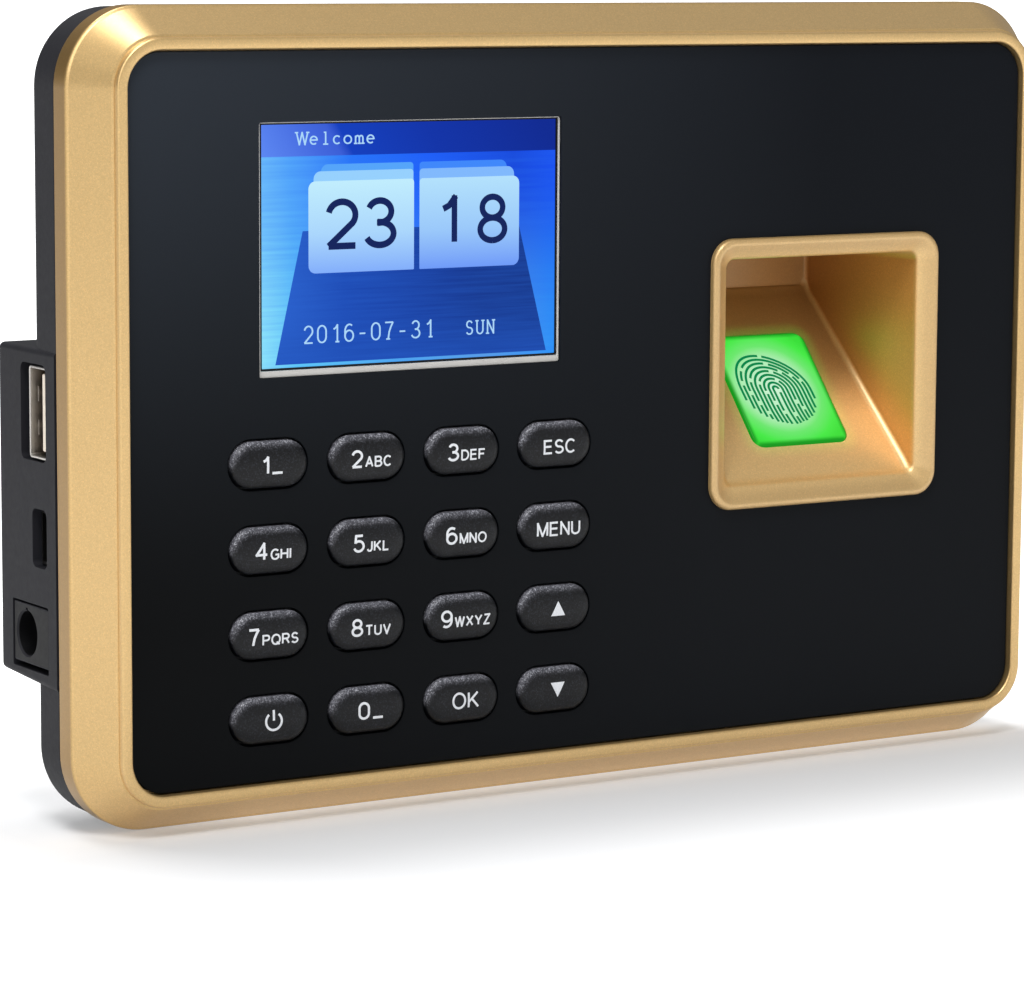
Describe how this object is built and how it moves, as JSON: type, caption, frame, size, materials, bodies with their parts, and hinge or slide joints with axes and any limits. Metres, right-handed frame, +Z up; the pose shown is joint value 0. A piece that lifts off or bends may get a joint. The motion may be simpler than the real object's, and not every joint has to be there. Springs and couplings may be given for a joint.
{
  "type": "fingerprint scanner terminal",
  "caption": "Wall-mounted fingerprint time terminal: gold bezel, black panel with display and keypad, slanted green scanner in a deep well, dark rear cover with side ports.",
  "frame": {"origin": "on the wall plane (the flat back of the raised part of the rear cover), behind the centre of the front panel", "axes": "+X to the viewer's right, +Y into the wall, +Z up; the panel faces -Y"},
  "size_m": [0.168, 0.0312, 0.1164],
  "materials": {
    "gold_paint": "champagne-gold satin paint with fine metal flake",
    "black_panel": "smooth black satin",
    "key_plastic": "fine sparkling texture with pale printed legends",
    "black_plastic": "moulded black",
    "dark_housing": "charcoal, fine moulded texture",
    "steel": "nickel-plated sheet",
    "cream_plastic": "plain moulded cream",
    "display_glass": "glossy lit colour display",
    "green_glass": "glossy, lit green from behind",
    "circuit_board": "green solder mask",
    "silicone": "matte grey silicone",
    "battery_wrap": "blue shrink wrap",
    "flat_cable": "amber film",
    "label_foil": "blank silver foil"
  },
  "bodies": {
    "housing": {"gold_bezel": "gold_paint", "finger_well": "gold_paint", "front_panel": "black_panel", "key_mat": "silicone", "key_board": "circuit_board", "lcd_frame": "cream_plastic", "lcd_glass": "display_glass", "lcd_backlight": "cream_plastic", "lcd_ribbon": "flat_cable", "sensor_window": "green_glass", "sensor_housing": "black_plastic", "sensor_board": "circuit_board", "sensor_lens": "steel", "sensor_lamp_left": "green_glass", "sensor_lamp_right": "green_glass", "rear_cover": "dark_housing", "screw_lower_left": "steel", "screw_upper_left": "steel", "screw_lower_right": "steel", "screw_upper_right": "steel", "usb_shell": "steel", "usb_tongue": "cream_plastic", "mini_usb_shell": "steel", "mini_usb_tongue": "black_plastic", "power_jack": "black_plastic", "power_jack_pin": "steel", "main_board": "circuit_board", "processor": "black_plastic", "memory_chip": "black_plastic", "board_socket": "cream_plastic", "capacitor": "steel", "coin_cell_holder": "cream_plastic", "coin_cell": "steel", "battery": "battery_wrap", "battery_pad": "silicone", "speaker": "black_plastic", "rating_label": "label_foil"},
    "key_1": {"key_1": "key_plastic"},
    "key_2": {"key_2": "key_plastic"},
    "key_3": {"key_3": "key_plastic"},
    "key_esc": {"key_esc": "key_plastic"},
    "key_4": {"key_4": "key_plastic"},
    "key_5": {"key_5": "key_plastic"},
    "key_6": {"key_6": "key_plastic"},
    "key_menu": {"key_menu": "key_plastic"},
    "key_7": {"key_7": "key_plastic"},
    "key_8": {"key_8": "key_plastic"},
    "key_9": {"key_9": "key_plastic"},
    "key_up": {"key_up": "key_plastic"},
    "key_power": {"key_power": "key_plastic"},
    "key_0": {"key_0": "key_plastic"},
    "key_ok": {"key_ok": "key_plastic"},
    "key_down": {"key_down": "key_plastic"}
  },
  "joints": [
    {"name": "key_1_press", "type": "slide", "parent": "housing", "child": "key_1", "axis": [0, 1, 0], "range_m": [0, 0.001], "stiffness_N_per_m": 600, "springref_m": -0.0005},
    {"name": "key_2_press", "type": "slide", "parent": "housing", "child": "key_2", "axis": [0, 1, 0], "range_m": [0, 0.001], "stiffness_N_per_m": 600, "springref_m": -0.0005},
    {"name": "key_3_press", "type": "slide", "parent": "housing", "child": "key_3", "axis": [0, 1, 0], "range_m": [0, 0.001], "stiffness_N_per_m": 600, "springref_m": -0.0005},
    {"name": "key_esc_press", "type": "slide", "parent": "housing", "child": "key_esc", "axis": [0, 1, 0], "range_m": [0, 0.001], "stiffness_N_per_m": 600, "springref_m": -0.0005},
    {"name": "key_4_press", "type": "slide", "parent": "housing", "child": "key_4", "axis": [0, 1, 0], "range_m": [0, 0.001], "stiffness_N_per_m": 600, "springref_m": -0.0005},
    {"name": "key_5_press", "type": "slide", "parent": "housing", "child": "key_5", "axis": [0, 1, 0], "range_m": [0, 0.001], "stiffness_N_per_m": 600, "springref_m": -0.0005},
    {"name": "key_6_press", "type": "slide", "parent": "housing", "child": "key_6", "axis": [0, 1, 0], "range_m": [0, 0.001], "stiffness_N_per_m": 600, "springref_m": -0.0005},
    {"name": "key_menu_press", "type": "slide", "parent": "housing", "child": "key_menu", "axis": [0, 1, 0], "range_m": [0, 0.001], "stiffness_N_per_m": 600, "springref_m": -0.0005},
    {"name": "key_7_press", "type": "slide", "parent": "housing", "child": "key_7", "axis": [0, 1, 0], "range_m": [0, 0.001], "stiffness_N_per_m": 600, "springref_m": -0.0005},
    {"name": "key_8_press", "type": "slide", "parent": "housing", "child": "key_8", "axis": [0, 1, 0], "range_m": [0, 0.001], "stiffness_N_per_m": 600, "springref_m": -0.0005},
    {"name": "key_9_press", "type": "slide", "parent": "housing", "child": "key_9", "axis": [0, 1, 0], "range_m": [0, 0.001], "stiffness_N_per_m": 600, "springref_m": -0.0005},
    {"name": "key_up_press", "type": "slide", "parent": "housing", "child": "key_up", "axis": [0, 1, 0], "range_m": [0, 0.001], "stiffness_N_per_m": 600, "springref_m": -0.0005},
    {"name": "key_power_press", "type": "slide", "parent": "housing", "child": "key_power", "axis": [0, 1, 0], "range_m": [0, 0.001], "stiffness_N_per_m": 600, "springref_m": -0.0005},
    {"name": "key_0_press", "type": "slide", "parent": "housing", "child": "key_0", "axis": [0, 1, 0], "range_m": [0, 0.001], "stiffness_N_per_m": 600, "springref_m": -0.0005},
    {"name": "key_ok_press", "type": "slide", "parent": "housing", "child": "key_ok", "axis": [0, 1, 0], "range_m": [0, 0.001], "stiffness_N_per_m": 600, "springref_m": -0.0005},
    {"name": "key_down_press", "type": "slide", "parent": "housing", "child": "key_down", "axis": [0, 1, 0], "range_m": [0, 0.001], "stiffness_N_per_m": 600, "springref_m": -0.0005}
  ]
}
